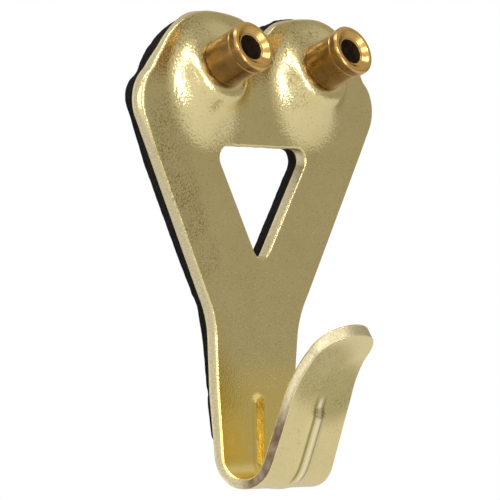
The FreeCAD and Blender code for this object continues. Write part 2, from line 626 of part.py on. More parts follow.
# --------------------------------------------------- nails and their heads
def lathe(label, profile_name, path, hand, mark):
    """A turned piece about the nail's axis; its local Z runs out of the wall."""
    body = doc.addObject("PartDesign::Body", label)
    body.Label = label
    sk = new_sketch(body, label + "_" + profile_name, "XZ_Plane")
    draw(sk, path)
    turn = body.newObject("PartDesign::Revolution", label + "_turned")
    turn.Profile = sk
    turn.ReferenceAxis = (sk, ["V_Axis"])
    turn.Angle = 360.0
    body.Tip = turn
    body.Placement = FreeCAD.Placement(
        FreeCAD.Vector(mark * VAL["nail_x"], -VAL["pad_thick"] - VAL["sheet_thick"] - VAL["cap_f"],
                       VAL[hand + "_cap_z"] - VAL["nail_level"]),
        FreeCAD.Rotation(FreeCAD.Vector(1, 0, 0), 90.0 - VAL["nail_tilt"]))
    body.setExpression("Placement.Base.x", ("" if mark > 0 else "0 - ") + "dims.nail_x")
    body.setExpression("Placement.Base.y", "0 - dims.pad_thick - dims.sheet_thick - dims.cap_f")
    body.setExpression("Placement.Base.z", "dims." + hand + "_cap_z - dims.nail_level")
    body.setExpression("Placement.Rotation.Angle", "90 - dims.nail_tilt")
    doc.recompute()
    print("%-16s volume %.3f valid %s" % (label, body.Shape.Volume, body.Shape.isValid()))
    return body


COLLAR_TOP = (VAL["head_length"] - 0.20, "dims.head_length - 0.2")
CHAMFER_IN = size("head_radius", "-head_chamfer")
DISC_TOP = size("head_seat_u", "nail_disc_thick")
heads = []
nails = []
for hand, mark in (("left", -1.0), ("right", 1.0)):
    heads.append(lathe(hand + "_nail_head", "profile", [
        line((size("shank_radius"), ZERO)),
        line((CHAMFER_IN, ZERO)),
        line((size("head_radius"), size("head_chamfer"))),
        line((size("head_radius"), size("neck_start"))),
        line((size("head_neck"), size("neck_start"))),
        line((size("head_neck"), size("collar_start"))),
        line((size("head_collar"), size("collar_start"))),
        line((size("head_collar"), COLLAR_TOP)),
        line((size("head_rim"), size("head_length"))),
        line((size("rim_face"), size("head_length"))),
        line((size("sink_radius"), size("head_length", "-sink_depth"))),
        line((size("head_bore"), size("head_length", "-sink_depth"))),
        line((size("head_bore"), size("head_seat_u"))),
        line((size("shank_radius"), size("head_seat_u"))),
    ], hand, mark))
    nails.append(lathe(hand + "_nail", "profile", [
        line((ZERO, DISC_TOP)),
        line((size("nail_disc_radius"), DISC_TOP)),
        line((size("nail_disc_radius"), size("head_seat_u"))),
        line((size("shank_radius"), size("head_seat_u"))),
        line((size("shank_radius"), size("-shank_end_u"))),
        line((size("point_flat"), size("-point_end_u"))),
        line((ZERO, size("-point_end_u"))),
    ], hand, mark))

# ------------------------------------------------------ test and write out
pieces = [plate, pad] + heads + nails
for obj in doc.Objects:
    if "Invalid" in obj.State or "Error" in obj.State:
        raise RuntimeError("%s did not compute: %s" % (obj.Name, obj.State))
for body in pieces:
    shape = body.Shape
    if shape.isNull() or not shape.isValid() or len(shape.Solids) != 1:
        raise RuntimeError("%s has a bad shape" % body.Label)
for body in pieces:
    box = body.Shape.optimalBoundingBox()
    print("%-16s volume %9.3f  x %.2f..%.2f  y %.2f..%.2f  z %.2f..%.2f" % (
        body.Label, body.Shape.Volume, box.XMin, box.XMax, box.YMin, box.YMax, box.ZMin, box.ZMax))
    body.Shape.exportStep("parts/%s.step" % body.Label)
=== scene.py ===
import math
import bpy
import numpy as np
from mathutils import Matrix, Vector
from mathutils.geometry import delaunay_2d_cdt
from mathutils.kdtree import KDTree


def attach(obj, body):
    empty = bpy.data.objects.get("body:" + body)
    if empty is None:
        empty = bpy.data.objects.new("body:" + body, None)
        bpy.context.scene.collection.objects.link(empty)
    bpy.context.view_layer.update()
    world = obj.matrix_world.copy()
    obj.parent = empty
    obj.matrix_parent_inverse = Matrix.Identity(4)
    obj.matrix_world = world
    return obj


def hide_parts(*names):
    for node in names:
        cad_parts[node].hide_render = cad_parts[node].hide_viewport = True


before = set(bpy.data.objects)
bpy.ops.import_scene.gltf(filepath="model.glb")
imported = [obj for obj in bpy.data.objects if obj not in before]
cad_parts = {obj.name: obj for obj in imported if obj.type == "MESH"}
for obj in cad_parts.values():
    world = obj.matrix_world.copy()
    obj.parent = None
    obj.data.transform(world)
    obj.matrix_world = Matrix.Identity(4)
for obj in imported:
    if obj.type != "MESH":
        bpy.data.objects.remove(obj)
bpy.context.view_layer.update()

# ---------------------------------------------------------------- frame
# Lengths below are millimetres: X across, F forward of the sheet's flat front face,
# H up from the underside of the bend. to_m turns them into the shared frame in metres.
FACE, FOOT = 2.37, 37.70


def to_m(x, f, h):
    return np.stack([np.asarray(x) * 1e-3, -(FACE + np.asarray(f)) * 1e-3, (np.asarray(h) - FOOT) * 1e-3], -1)


def lerp(a, b, k):
    return a + (b - a) * k


def smooth(k):
    k = np.clip(k, 0.0, 1.0)
    return k * k * (3 - 2 * k)


def bump_of(v, mid, half):
    return smooth(1 - np.abs(v - mid) / half)


def arc(cx, cy, r, a0, a1, step=0.12):
    n = max(2, int(abs(math.radians(a1 - a0)) * r / step))
    a = np.radians(np.linspace(a0, a1, n + 1))
    return np.stack([cx + r * np.cos(a), cy + r * np.sin(a)], 1)


def arc_to(p, q, r, left):
    """Arc of radius r from p to q; its centre is on the left of p to q if left."""
    p, q = np.array(p, float), np.array(q, float)
    d = q - p
    n = np.array([-d[1], d[0]]) / np.hypot(*d)
    c = (p + q) / 2 + n * (1 if left else -1) * math.sqrt(max(r * r - d @ d / 4, 0))
    a0 = math.degrees(math.atan2(*(p - c)[::-1]))
    a1 = math.degrees(math.atan2(*(q - c)[::-1]))
    if left:
        a1 += 360 * (a1 < a0)
    else:
        a1 -= 360 * (a1 > a0)
    return arc(c[0], c[1], r, a0, a1)


def resample(p, step, closed=False):
    p = np.asarray(p, float)
    if closed:
        p = np.vstack([p, p[:1]])
    keep = np.r_[True, np.hypot(*np.diff(p, axis=0).T) > 1e-6]
    p = p[keep]
    s = np.r_[0, np.cumsum(np.hypot(*np.diff(p, axis=0).T))]
    n = max(4, int(round(s[-1] / step)))
    k = np.linspace(0, s[-1], n + 1)
    out = np.stack([np.interp(k, s, p[:, 0]), np.interp(k, s, p[:, 1])], 1)
    return out[:-1] if closed else out


def relax(p, times):
    for _ in range(times):
        p = 0.5 * p + 0.25 * (np.roll(p, 1, 0) + np.roll(p, -1, 0))
    return p


def normals_2d(p):
    """Unit normals of a closed counterclockwise loop, pointing inwards."""
    d = np.roll(p, -1, 0) - np.roll(p, 1, 0)
    n = np.stack([-d[:, 1], d[:, 0]], 1)
    return n / np.hypot(*n.T)[:, None]


def area_2d(p):
    x, y = p.T
    return 0.5 * float(np.sum(x * np.roll(y, -1) - y * np.roll(x, -1)))


def inside(q, loop):
    """Which points lie inside a closed loop."""
    a, b = loop, np.roll(loop, -1, 0)
    r = np.zeros(len(q), bool)
    ys, which = np.unique(q[:, 1], return_inverse=True)
    order = np.argsort(which, kind="stable")
    cuts = np.searchsorted(which[order], np.arange(len(ys) + 1))
    for k, y in enumerate(ys):
        c = (a[:, 1] > y) != (b[:, 1] > y)
        if not c.any():
            continue
        p0, p1 = a[c], b[c]
        xs = np.sort(p0[:, 0] + (p1[:, 0] - p0[:, 0]) * (y - p0[:, 1]) / (p1[:, 1] - p0[:, 1]))
        ids = order[cuts[k]:cuts[k + 1]]
        r[ids] = np.searchsorted(xs, q[ids, 0]) % 2 == 1
    return r


def distance(q, loops):
    """Distance from points to the nearest loop."""
    pts = np.vstack(loops)
    tree = KDTree(len(pts))
    for i, p in enumerate(pts):
        tree.insert((p[0], p[1], 0), i)
    tree.balance()
    return np.array([tree.find((x, y, 0))[2] for x, y in q])


def value_noise(x, y, z, seed):
    """Smooth repeatable noise from 0 to 1 on a unit lattice."""
    def h(i, j, k):
        n = (i * 73856093) ^ (j * 19349663) ^ (k * 83492791) ^ (seed * 2654435761)
        n = (n ^ (n >> 13)) * 1274126177
        return ((n ^ (n >> 16)) & 0xFFFF) / 65535.0
    x, y, z = (np.asarray(v, float) for v in np.broadcast_arrays(x, y, z))
    i, j, k = (np.floor(v).astype(np.int64) for v in (x, y, z))
    u, v, w = (smooth(a - b) for a, b in ((x, i), (y, j), (z, k)))
    c = [[[h(i + a, j + b, k + e) for e in (0, 1)] for b in (0, 1)] for a in (0, 1)]
    f = [[lerp(c[a][b][0], c[a][b][1], w) for b in (0, 1)] for a in (0, 1)]
    return lerp(lerp(f[0][0], f[0][1], v), lerp(f[1][0], f[1][1], v), u)


# ---------------------------------------------------------------- side profile of the sheet
TOP = 44.6
_out, _in = [], []
for h in np.arange(TOP, 8.6, -0.1):
    _out.append((-1.25, h)); _in.append((0.0, h))
for k in np.linspace(0, 1, 60)[:-1]:
    _out.append((lerp(-1.25, -0.843, k), lerp(8.6, 2.79, k)))
    _in.append((lerp(0.03, 0.2713, k), lerp(8.76, 2.8038, k)))
for a, b in zip(np.radians(np.linspace(184.0, 270.0, 60)), np.radians(np.linspace(182.32, 270.0, 60))):
    _out.append((2.15 + 3.0 * math.cos(a), 3.0 + 3.0 * math.sin(a)))
    _in.append((2.15 + 1.88 * math.cos(b), 2.88 + 1.88 * math.sin(b)))
for a in np.radians(np.linspace(270.0, 339.5, 50)):
    _out.append((2.75 + 3.40 * math.cos(a), 3.40 + 3.40 * math.sin(a)))
    _in.append((2.75 + 2.02 * math.cos(a), 3.02 + 2.02 * math.sin(a)))
for k in np.linspace(0, 1, 60)[1:-1]:
    _out.append((lerp(5.935, 8.334, k), lerp(2.209, 8.612, k)))
    _in.append((lerp(4.642, 7.165, k), lerp(2.313, 9.045, k)))
for a in np.radians(np.linspace(159.5, 117.5, 90)):
    _out.append((18.919 + 11.30 * math.cos(a), 4.655 + 11.30 * math.sin(a)))
    _in.append((18.919 + 12.55 * math.cos(a), 4.655 + 12.55 * math.sin(a)))
_out, _in = np.array(_out), np.array(_in)
_mid = (_out + _in) / 2
_t = np.r_[0, np.cumsum(np.hypot(*np.diff(_mid, axis=0).T))]
T = np.arange(0, _t[-1], 0.04)


def _even(v):
    """One profile coordinate on an even run of t, with its kinks softened over about a millimetre."""
    v = np.interp(T, _t, v)
    w = np.hanning(33)[1:-1]
    pad = np.r_[2 * v[0] - v[15:0:-1], v, 2 * v[-1] - v[-2:-17:-1]]
    return np.convolve(pad, w / w.sum(), "valid")


OF, OH, IF, IH = _even(_out[:, 0]), _even(_out[:, 1]), _even(_in[:, 0]), _even(_in[:, 1])
MF, MH = (OF + IF) / 2, (OH + IH) / 2
LOW = int(np.argmin(MH))


def t_back(h):
    """t on the wall side of the bend at height h."""
    return np.interp(-np.asarray(h, float), -MH[:LOW + 1], T[:LOW + 1])


def t_leg(h):
    """t on the leg side of the bend at height h."""
    return np.interp(h, MH[LOW:], T[LOW:])


# ---------------------------------------------------------------- outline in (x, t)
def wall(points):
    p = np.asarray(points, float)
    return np.stack([p[:, 0], t_back(p[:, 1])], 1)


_half = [
    wall(arc_to((0, 42.2), (0.97, 42.556), 1.5, True)),
    wall(arc_to((1.55, 43.05), (3.2, 43.8), 3.69, False)),
    wall(arc_to((3.2, 43.8), (7.0, 44.2), 18.27, False)),
    wall(arc_to((7.0, 44.2), (12.85, 40.7), 6.82, False)),
    wall(arc_to((13.95, 39.1), (14.58, 38.3), 1.6, True)),
    wall(arc_to((14.58, 38.3), (15.14, 33.8), 3.6, False)),
    wall(np.array([(15.14, 33.8), (6.78, 17.8)])),
    wall(arc_to((6.78, 17.8), (5.54, 14.3), 8.65, True)),
    wall(np.array([(5.54, 14.3), (4.84, 4.4), (4.76, 2.86), (4.58, 1.5), (4.42, 0.9)])),
]
_leg = [(4.42, 0.9), (4.22, 1.8), (4.12, 2.9), (3.92, 9.0), (3.42, 12.6)]
_half.append(np.array([(x, float(t_leg(h))) for x, h in _leg]))
_s52 = MF * math.sin(math.radians(52)) + MH * math.cos(math.radians(52))
_a = np.radians(np.linspace(0, 90, 60))
_half.append(np.stack([3.42 * np.cos(_a), np.interp(15.93 + 3.42 * np.sin(_a), _s52[LOW:], T[LOW:])], 1))
_half = np.vstack(_half)
_loop = np.vstack([_half, (_half * [-1, 1])[::-1]])
OUTLINE = relax(resample(_loop, 0.13, True), 5)
if area_2d(OUTLINE) < 0:
    OUTLINE = OUTLINE[::-1].copy()


def window_loop(grow=0.0):
    """The triangular window with round corners, in (x, h), counterclockwise in (x, t)."""
    x0 = 0.45
    pts = []
    top, r1, r2 = 31.84 + grow, 1.15 + grow, 1.08 + grow
    # side line from (5.64, 29.85) to (0.95, 21.85)
    d = np.array([0.95 - 5.64, 21.85 - 29.85]); d /= np.hypot(*d)
    n = np.array([-d[1], d[0]])  # to the right of the side, away from the opening
    n = n if n[0] > 0 else -n
    a = math.degrees(math.atan2(n[1], n[0]))
    c1 = np.array([4.55, 31.84 - 1.15])
    c1[0] = 4.62
    c2 = np.array([0.0, 22.45])
    pts += list(arc(c1[0], c1[1], r1, 90, a, 0.1))
    pts += list(arc(c2[0], c2[1], r2, a, -90, 0.1))
    p = np.array(pts)
    p = np.vstack([p, (p * [-1, 1])[::-1]])
    p[:, 0] += x0
    return p


WINDOW = relax(resample(wall(window_loop()), 0.1, True), 3)
if area_2d(WINDOW) < 0:
    WINDOW = WINDOW[::-1].copy()

# ---------------------------------------------------------------- pressed shape of the sheet
TILT = math.radians(22.5)
UF, UH = math.cos(TILT), math.sin(TILT)      # the nail's axis in (F, H), pointing out of the head
DOMES = ((-6.74, 1.65, 39.20), (6.74, 1.65, 39.55))


def cone(x, f, h, centre, top, c, r):
    """Signed distance to a round-edged cone about a nail's axis: cap at top, 25 degree flank."""
    cx, cf, ch = centre
    u = (f - cf) * UF + (h - ch) * UH
    v = np.hypot(x - cx, (h - ch) * UF - (f - cf) * UH)
    s25, c25 = math.sin(math.radians(25)), math.cos(math.radians(25))
    a, b = u - (top - r), v * c25 + u * s25 - (c - r)
    v0 = ((c - r) - (top - r) * s25) / c25
    w0, w1 = v - v0, u - (top - r)
    beta = w0 / c25
    alpha = w1 - beta * s25
    corner = (alpha > 0) & (beta > 0)
    return np.where(corner, np.hypot(w0, w1), np.maximum(a, b)) - r


def soft_union(a, b, r):
    return np.maximum(r, np.minimum(a, b)) - np.hypot(np.maximum(r - a, 0), np.maximum(r - b, 0))


def rise(x, h, back):
    """How far forward the sheet's front (or back) face stands at (x, h) because of the two domes."""
    f = np.full(np.shape(x), 4.2)
    plane = -1.25 if back else 0.0
    for _ in range(90):
        d = 1e9
        for c in DOMES:
            if back:
                e = cone(x, f, h, c, -1.05, 1.9007, 0.6)
            else:
                e = cone(x, f, h, c, 0.0, 2.901, 1.25)
            d = np.minimum(d, e)
        d = soft_union(d, f - plane, 0.8 if back else FOOT_R)
        f = f - d * 0.95
    return np.maximum(f, plane) - plane


FOOT_R = 1.7


def bead(x, t, t0, t1, w, high):
    """Height of the pressed bead: a V with a narrow round crest and arched ends."""
    rho = np.hypot(x, np.maximum(np.maximum(t0 + w - t, t - (t1 - w)), 0))
    e = 0.10
    k = high * (1 - (np.sqrt(rho * rho + e * e) - e) / w)
    return 0.5 * (k + np.sqrt(k * k + 0.05 ** 2)) * smooth((w * 1.35 - rho) / (0.35 * w))


RIDGE = (float(t_back(3.0)), float(np.interp(7.60, OH[LOW:], T[LOW:])), 1.2, 0.42)
GROOVE = (float(t_back(8.6)), float(np.interp(8.02, IH[LOW:], T[LOW:])), 0.86, 0.32)


def roll_radius(x, t):
    """Radius of the sheared edge's roll-over: fine all round, wider where the lobes are drawn."""
    h = TOP - np.asarray(t)
    x = np.asarray(x)
    r = 0.19 + 0.33 * bump_of(h, 35.4, 4.2) * smooth((-x - 11.0) / 2.0) + 0.10 * bump_of(h, 35.4, 4.2) * smooth((x - 11.0) / 2.0)
    return r


LIFT_R = 0.9


def lift(x, t):
    """The rim of one lobe stands a little off the pad."""
    h = TOP - np.asarray(t)
    dx, dh = x + 6.65, h - 37.45
    a = np.degrees(np.arctan2(dh, dx))
    k = bump_of(a, 138.0, 34.0) ** 0.7
    k2 = 0.35 * bump_of(np.degrees(np.arctan2(dh, x - 6.65)), 128.0, 30.0) * (x > 0)
    return (0.50 * k * (x < 0) + k2) * (h > 34)


def place(x, t, back, depth=0.0, crown=0.0):
    """Points of one face of the sheet at (x, t), sunk by depth into the sheet."""
    f0, h0 = np.interp(t, T, OF), np.interp(t, T, OH)
    f1, h1 = np.interp(t, T, IF), np.interp(t, T, IH)
    nf, nh = f1 - f0, h1 - h0
    l = np.hypot(nf, nh)
    nf, nh = nf / l, nh / l
    if back:
        f, h = f0, h0
        up = t < t_back(20.0)
        r = np.zeros(np.shape(x))
        r[up] = rise(x[up], TOP - t[up], True)
        g = bead(x, t, *RIDGE) * (0.25 + 0.75 * smooth((t - T[LOW]) / (t_leg(3.4) - T[LOW])))
        return f + r + nf * (depth - g), h + nh * (depth - g)
    f, h = f1, h1
    up = t < t_back(20.0)
    r = np.zeros(np.shape(x))
    r[up] = rise(x[up], TOP - t[up], False)
    g = bead(x, t, *GROOVE)
    k = depth + g + crown
    return f + r - nf * k, h - nh * k


def crown_of(x, t, d):
    """The front face falls away a little towards its edge."""
    return 0.02 * np.exp(-d / 1.1)


def hex_points(lo, hi, step):
    xs = np.arange(lo[0], hi[0], step)
    ys = np.arange(lo[1], hi[1], step * 0.866)
    gx, gy = np.meshgrid(xs, ys)
    gx = gx + (np.arange(len(ys)) % 2)[:, None] * step / 2
    return np.stack([gx.ravel(), gy.ravel()], 1)


def interior(loops, sizes, gap):
    """Points inside loops[0] and outside the rest, on grids whose step is sizes(x, y) in halves of the coarsest."""
    lo, hi = loops[0].min(0), loops[0].max(0)
    out = []
    for step in sorted(set(sizes), reverse=True):
        p = hex_points(lo, hi, step)
        out.append(p[sizes[step](p[:, 0], p[:, 1])])
    p = np.vstack(out)
    p = p[inside(p, loops[0])]
    for l in loops[1:]:
        p = p[~inside(p, l)]
    d = distance(p, loops)
    return p[d > gap], d[d > gap]


def fill(loops, pts):
    """Triangles between the loops (first outer, then holes) with extra points. Loops keep their order at the front."""
    co, ed, n = [], [], 0
    for l in loops:
        k = len(l)
        co += [Vector(p) for p in l]
        ed += [(n + i, n + (i + 1) % k) for i in range(k)]
        n += k
    co += [Vector(p) for p in pts]
    v, e, f, ov, oe, of = delaunay_2d_cdt(co, ed, [], 0, 1e-7)
    if len(v) != len(co):
        raise RuntimeError("the outline crosses itself")
    order = np.array([o[0] for o in ov])
    tri = order[np.array([list(t) for t in f])]
    xy = np.vstack(list(loops) + [pts])
    rim = (tri < n).all(1)  # only a triangle with all its corners on the loops can lie outside them
    c = xy[tri[rim]].mean(1)
    ok = inside(c, loops[0])
    for l in loops[1:]:
        ok &= ~inside(c, l)
    tri = np.vstack([tri[~rim], tri[rim][ok]])
    a = xy[tri]
    cross = (a[:, 1, 0] - a[:, 0, 0]) * (a[:, 2, 1] - a[:, 0, 1]) - (a[:, 1, 1] - a[:, 0, 1]) * (a[:, 2, 0] - a[:, 0, 0])
    tri[cross < 0] = tri[cross < 0][:, ::-1]
    return tri


class Sheet:
    """Collects points and faces of one closed mesh."""

    def __init__(self):
        self.co, self.faces, self.mats, self.n = [], [], [], 0
        self.uv = []

    def points(self, xyz, uv=None):
        xyz = np.asarray(xyz, float)
        self.co.append(xyz)
        self.uv.append(np.zeros((len(xyz), 2)) if uv is None else np.asarray(uv, float))
        i = np.arange(self.n, self.n + len(xyz))
        self.n += len(xyz)
        return i

    def strip(self, a, b, mat=0):
        """Quads between two closed rings of the same length."""
        a2, b2 = np.roll(a, -1), np.roll(b, -1)
        self.faces += [tuple(q) for q in np.stack([a, a2, b2, b], 1).tolist()]
        self.mats += [mat] * len(a)

    def tris(self, idx, mat=0):
        self.faces += [tuple(q) for q in idx.tolist()]
        self.mats += [mat] * len(idx)

    def build(self, name, materials, angle=None):
        me = bpy.data.meshes.new(name)
        co = np.vstack(self.co)
        me.from_pydata(co.tolist(), [], self.faces)
        me.update()
        for m in materials:
            me.materials.append(m)
        me.polygons.foreach_set("material_index", self.mats)
        me.polygons.foreach_set("use_smooth", [True] * len(me.polygons))
        uv = np.vstack(self.uv)
        layer = me.uv_layers.new(name="UVMap")
        vi = np.zeros(len(me.loops), np.int64)
        me.loops.foreach_get("vertex_index", vi)
        layer.data.foreach_set("uv", uv[vi].ravel())
        if angle is not None:
            me.set_sharp_from_angle(angle=math.radians(angle))
        me.validate()
        o = bpy.data.objects.new(name, me)
        bpy.context.scene.collection.objects.link(o)
        return o


def ring_uv(loop, w):
    s = np.r_[0, np.cumsum(np.hypot(*np.diff(loop, axis=0).T))]
    return np.stack([s, np.full(len(loop), w)], 1)


def face_of_sheet(mesh, loops, holes, back, sizes, ring_steps, radii, flip, mat):
    """One face of the sheet. loops are the sheared edges (each ringed with a roll-over), holes the nail holes.
    Returns the vertex rings on the edges and on the holes."""
    edge_rings, inner, start = [], [], []
    for loop, sign, rad in zip(loops, [1] + [-1] * (len(loops) - 1), radii):
        nrm = normals_2d(loop) * sign
        rings = []
        for k, q in enumerate(ring_steps):
            d = rad * q
            p = loop + nrm * d[:, None]
            drop = rad - np.sqrt(np.maximum(rad ** 2 - np.maximum(rad - d, 0) ** 2, 0))
            if back:
                drop = drop + lift(loop[:, 0], loop[:, 1]) * np.exp(-(d / LIFT_R) ** 2)
                f, h = place(p[:, 0], p[:, 1], True, drop)
            else:
                f, h = place(p[:, 0], p[:, 1], False, drop, crown_of(p[:, 0], p[:, 1], d))
            rings.append((p, mesh.points(to_m(p[:, 0], f, h), np.stack([p[:, 0], p[:, 1]], 1) / 50)))
        for a, b in zip(rings, rings[1:]):
            i, j = (a[1], b[1])
            if (sign > 0) != flip:
                mesh.strip(i, j, mat)
            else:
                mesh.strip(j, i, mat)
        edge_rings.append(rings[0][1])
        inner.append(rings[-1][0])
        start.append(rings[-1][1])
    hole_rings = []
    for loop in holes:
        f, h = place(loop[:, 0], loop[:, 1], back)
        hole_rings.append(mesh.points(to_m(loop[:, 0], f, h), loop / 50))
        inner.append(loop)
        start.append(hole_rings[-1])
    pts, d = interior(inner, sizes, 0.075)
    d = distance(pts, loops)
    if back:
        li = lift(pts[:, 0], pts[:, 1]) * np.exp(-(d / LIFT_R) ** 2)
        f, h = place(pts[:, 0], pts[:, 1], True, li)
    else:
        f, h = place(pts[:, 0], pts[:, 1], False, 0.0, crown_of(pts[:, 0], pts[:, 1], d))
    body = mesh.points(to_m(pts[:, 0], f, h), pts / 50)
    index = np.concatenate(start + [body])
    tri = index[fill(inner, pts)]
    mesh.tris(tri[:, ::-1] if flip else tri, mat)
    return edge_rings, hole_rings


def hole_loop(centre, r, depth, n=40):
    """The nail hole's ring on the cap (depth 0) or inside the cavity, as (x, t)."""
    cx, cf, ch = centre
    a = np.linspace(0, 2 * math.pi, n, endpoint=False)
    x = cx + r * np.cos(a)
    h = ch - depth * UH + r * np.sin(a) * UF
    p = np.stack([x, TOP - h], 1)
    return p if area_2d(p) > 0 else p[::-1].copy()


def near_dome(x, t, lo, hi):
    h = TOP - t
    k = np.zeros(len(x), bool)
    for cx, cf, ch in DOMES:
        r = np.hypot(x - cx, (h - ch + 0.6) * 0.95)
        k |= (r > lo) & (r < hi)
    return k


def build_plate(materials):
    m = Sheet()
    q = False
    base = 0.5 if q else 0.27
    fine = 0.25 if q else 0.135
    near_bead = lambda x, t: (np.abs(x) < 1.4) & (t > t_back(9.6)) & (t < t_leg(9.2))
    dense = lambda x, t: near_dome(x, t, 1.5, 5.9) | near_bead(x, t)
    front_sizes = {fine: dense, base: lambda x, t: ~dense(x, t)}
    bend = lambda x, t: near_bead(x, t)
    back_sizes = {fine: bend, base * 1.3: lambda x, t: ~bend(x, t)}
    loops = [OUTLINE, WINDOW]
    fr = [roll_radius(l[:, 0], l[:, 1]) for l in loops]
    br = [np.full(len(l), 0.03) for l in loops]
    fh = [hole_loop(c, 0.76, 0.0) for c in DOMES]
    bh = [hole_loop(c, 0.76, 1.05) for c in DOMES]
    fe, fhr = face_of_sheet(m, loops, fh, False, front_sizes, (0, 0.04, 0.13, 0.28, 0.48, 0.72, 1.0, 1.35), fr, True, 0)
    be, bhr = face_of_sheet(m, loops, bh, True, back_sizes, (0, 0.15, 0.5, 1.0, 3.0), br, False, 0)
    co = np.vstack(m.co)
    for loop, a, b, sign in zip(loops, fe, be, (1, -1)):
        pa, pb = co[a], co[b]
        nrm = normals_2d(loop) * sign
        rows = [a]
        s = ring_uv(loop, 0)[:, 0]
        for k in (0.12, 0.3, 0.45, 0.6, 0.75, 0.9):
            p = lerp(pa, pb, k)
            # the lower part of a sheared edge is torn and stands slightly back
            wob = value_noise(s / 0.22, k * 3.0, 0.0, 5) - 0.5
            back_by = 0.020 * smooth((k - 0.35) / 0.3) + 0.030 * wob * smooth((k - 0.2) / 0.4)
            p = p + np.stack([nrm[:, 0] * back_by * 1e-3, 0 * s, 0 * s], 1)
            rows.append(m.points(p, np.stack([s / 50, np.full(len(s), k)], 1)))
        rows.append(b)
        for i, j in zip(rows, rows[1:]):
            if sign > 0:
                m.strip(i, j, 1)
            else:
                m.strip(j, i, 1)
    for a, b in zip(fhr, bhr):
        m.strip(b, a, 0)
    return m.build("hook_plate_sheet", materials)


# ---------------------------------------------------------------- turned parts
def lathe(name, centre, profile, materials, mats=None, n=160):
    """A closed turned piece about a nail's axis. profile is (radius, distance along the axis), from axis to axis."""
    cx, cf, ch = centre
    m = Sheet()
    a = np.linspace(0, 2 * math.pi, n, endpoint=False)
    rings = []
    for r, u in profile:
        if r < 1e-6:
            rings.append(m.points(to_m([cx], [cf + u * UF], [ch + u * UH])))
            continue
        x = cx + r * np.cos(a)
        v = r * np.sin(a)
        rings.append(m.points(to_m(x, cf + u * UF - v * UH, ch + u * UH + v * UF),
                              np.stack([a / (2 * math.pi), np.full(n, u / 10)], 1)))
    for k, (i, j) in enumerate(zip(rings, rings[1:])):
        mt = mats[k] if mats else 0
        if len(i) == 1:
            f = [(int(i[0]), int(j[q]), int(j[(q + 1) % n])) for q in range(n)]
        elif len(j) == 1:
            f = [(int(i[(q + 1) % n]), int(i[q]), int(j[0])) for q in range(n)]
        else:
            m.strip(j, i, mt)
            continue
        m.faces += f
        m.mats += [mt] * n
    return m, rings


def rounded(points, radii, steps=5):
    """Profile with its corners rounded."""
    p = [np.array(q, float) for q in points]
    out = [p[0]]
    for i in range(1, len(p) - 1):
        r = radii[i]
        a, b = p[i - 1] - p[i], p[i + 1] - p[i]
        la, lb = np.hypot(*a), np.hypot(*b)
        if r <= 0:
            out.append(p[i])
            continue
        k = min(r, 0.45 * la, 0.45 * lb)
        s, e = p[i] + a / la * k, p[i] + b / lb * k
        for w in np.linspace(0, 1, steps + 1):
            out.append((1 - w) ** 2 * s + 2 * w * (1 - w) * p[i] + w * w * e)
    out.append(p[-1])
    return out


def build_head(name, centre, materials):
    # bore outwards over the rim, down the collar and body to the base, and back to the shank's bore
    pts = [(0.70, 1.30), (1.24, 1.30), (1.24, 3.78), (1.42, 3.83), (1.96, 4.25), (2.23, 4.25), (2.45, 4.05), (2.45, 3.40),
           (2.27, 3.32), (2.27, 3.24), (2.35, 3.18), (2.35, 0.13), (2.22, 0.0), (0.70, 0.0)]
    rad = [0, 0.05, 0.05, 0.04, 0.05, 0.07, 0.09, 0.06, 0.03, 0.03, 0.04, 0.06, 0.05, 0]
    prof = rounded(pts, rad)
    # extra rings on the body and in the bore
    full = []
    for a, b in zip(prof, prof[1:]):
        n = max(1, int(np.hypot(*(b - a)) / 0.4))
        full += [lerp(a, b, k / n) for k in range(n)]
    full.append(prof[-1])
    bore = [1 if (a[0] + b[0]) / 2 < 1.3 and 1.0 < (a[1] + b[1]) / 2 < 3.75 else 0 for a, b in zip(full, full[1:])]
    m, rings = lathe(name, centre, full, materials, bore)
    m.strip(rings[0], rings[-1])
    return m.build(name, materials)


def build_nail(name, centre, materials):
    pts = [(0.0, 2.0), (1.10, 2.0), (1.16, 1.94), (1.16, 1.30), (0.70, 1.30), (0.70, -10.0), (0.0, -12.0)]
    rad = [0, 0.03, 0.03, 0.02, 0.02, 0.10, 0]
    prof = rounded(pts, rad, 3)
    full = []
    for a, b in zip(prof, prof[1:]):
        n = max(1, int(np.hypot(*(b - a)) / 0.5))
        full += [lerp(a, b, k / n) for k in range(n)]
    full.append(prof[-1])
    full = [(r if r > 1e-9 else 0.0, u) for r, u in full]
    m, rings = lathe(name, centre, full, materials, n=72)
    return m.build(name, materials, 40)


